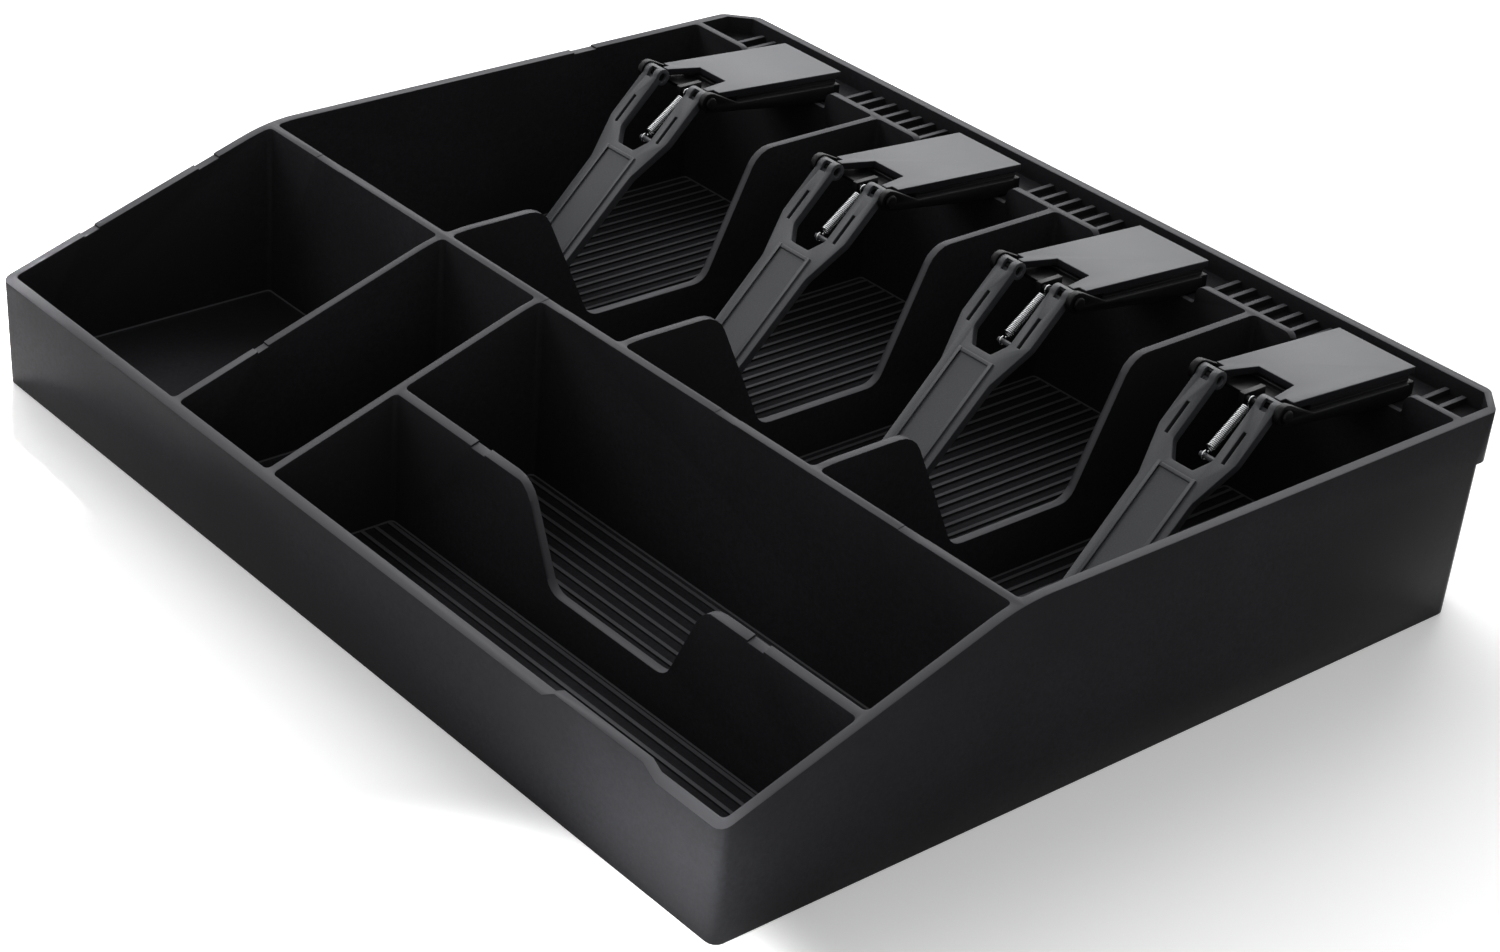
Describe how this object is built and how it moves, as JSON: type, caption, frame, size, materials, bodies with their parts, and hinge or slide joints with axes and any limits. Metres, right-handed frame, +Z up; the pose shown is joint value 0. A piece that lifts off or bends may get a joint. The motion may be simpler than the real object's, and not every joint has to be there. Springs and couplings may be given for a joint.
{
  "type": "cash register tray",
  "caption": "Moulded cash drawer tray with coin cups, bill slots split by low-waisted dividers, and sprung hinged arms that press the notes down.",
  "frame": {"origin": "centre of the underside's bounding rectangle, on the resting plane", "axes": "+Z up, +X to the right along the front wall, +Y from the coin cups at the front to the bill clips at the rear"},
  "size_m": [0.33, 0.28, 0.0702],
  "materials": {
    "glossy_black_plastic": "glossy moulded",
    "black_bracket_plastic": "satin moulded",
    "grey_clip_plastic": "fine-grained moulded",
    "grey_lid_plastic": "smooth moulded",
    "zinc_plated_steel": "bright zinc plated"
  },
  "bodies": {
    "tray": {"tray_body": "glossy_black_plastic", "clip_1_base": "black_bracket_plastic", "clip_1_lid": "grey_lid_plastic", "clip_1_pin_left": "black_bracket_plastic", "clip_1_pin_right": "black_bracket_plastic", "clip_1_screw": "zinc_plated_steel", "clip_2_base": "black_bracket_plastic", "clip_2_lid": "grey_lid_plastic", "clip_2_pin_left": "black_bracket_plastic", "clip_2_pin_right": "black_bracket_plastic", "clip_2_screw": "zinc_plated_steel", "clip_3_base": "black_bracket_plastic", "clip_3_lid": "grey_lid_plastic", "clip_3_pin_left": "black_bracket_plastic", "clip_3_pin_right": "black_bracket_plastic", "clip_3_screw": "zinc_plated_steel", "clip_4_base": "black_bracket_plastic", "clip_4_lid": "grey_lid_plastic", "clip_4_pin_left": "black_bracket_plastic", "clip_4_pin_right": "black_bracket_plastic", "clip_4_screw": "zinc_plated_steel"},
    "clip_1": {"clip_1_arm": "grey_clip_plastic", "clip_1_spring": "zinc_plated_steel"},
    "clip_2": {"clip_2_arm": "grey_clip_plastic", "clip_2_spring": "zinc_plated_steel"},
    "clip_3": {"clip_3_arm": "grey_clip_plastic", "clip_3_spring": "zinc_plated_steel"},
    "clip_4": {"clip_4_arm": "grey_clip_plastic", "clip_4_spring": "zinc_plated_steel"}
  },
  "joints": [
    {"name": "clip_1_hinge", "type": "hinge", "parent": "tray", "child": "clip_1", "pos_m": [-0.11665, 0.072, 0.067], "axis": [-1, 0, 0], "range_deg": [0, 100], "stiffness_Nm_per_rad": 0.008, "springref_deg": -85.94, "deforming": ["clip_1_spring"]},
    {"name": "clip_2_hinge", "type": "hinge", "parent": "tray", "child": "clip_2", "pos_m": [-0.0327, 0.072, 0.067], "axis": [-1, 0, 0], "range_deg": [0, 100], "stiffness_Nm_per_rad": 0.008, "springref_deg": -85.94, "deforming": ["clip_2_spring"]},
    {"name": "clip_3_hinge", "type": "hinge", "parent": "tray", "child": "clip_3", "pos_m": [0.0459, 0.072, 0.067], "axis": [-1, 0, 0], "range_deg": [0, 100], "stiffness_Nm_per_rad": 0.008, "springref_deg": -85.94, "deforming": ["clip_3_spring"]},
    {"name": "clip_4_hinge", "type": "hinge", "parent": "tray", "child": "clip_4", "pos_m": [0.12375, 0.072, 0.067], "axis": [-1, 0, 0], "range_deg": [0, 100], "stiffness_Nm_per_rad": 0.008, "springref_deg": -85.94, "deforming": ["clip_4_spring"]}
  ]
}
